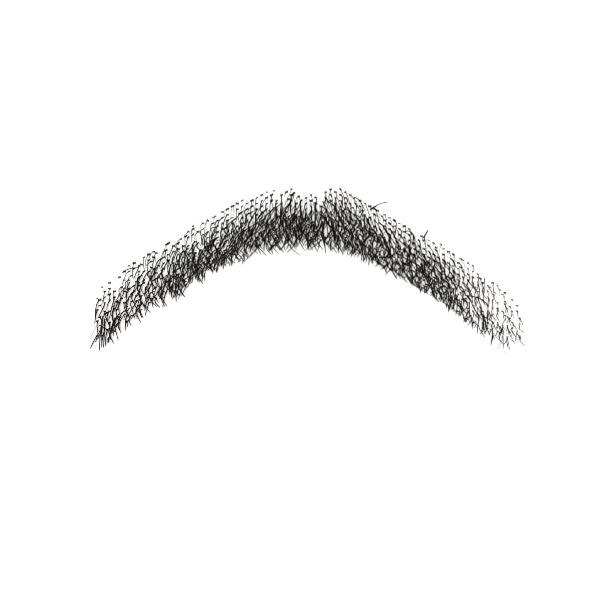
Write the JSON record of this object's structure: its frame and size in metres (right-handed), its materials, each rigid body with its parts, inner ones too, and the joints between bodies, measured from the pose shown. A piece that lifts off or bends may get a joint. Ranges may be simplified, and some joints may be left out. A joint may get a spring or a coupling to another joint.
{
  "type": "false moustache",
  "caption": "Hand-knotted false moustache: an arched strip of fine net with overlapping rows of short dark hair that part in the middle, worn on the upper lip.",
  "frame": {"origin": "on the net's underside, at the middle of the lip, between the two wings", "axes": "+X from wing to wing, +Y towards the nose, +Z out of the face through the hair"},
  "size_m": [0.0988, 0.038, 0.0034],
  "materials": {
    "net": "sheer nylon net",
    "hair": "dark hair with a soft sheen"
  },
  "bodies": {
    "root": {"net_base": "net", "hair_row_1_left": "hair", "hair_row_1_right": "hair", "hair_row_2_left": "hair", "hair_row_2_right": "hair", "hair_row_3_left": "hair", "hair_row_3_right": "hair", "hair_row_4_left": "hair", "hair_row_4_right": "hair", "hair_row_5_left": "hair", "hair_row_5_right": "hair", "hair_row_6_left": "hair", "hair_row_6_right": "hair"}
  },
  "joints": []
}
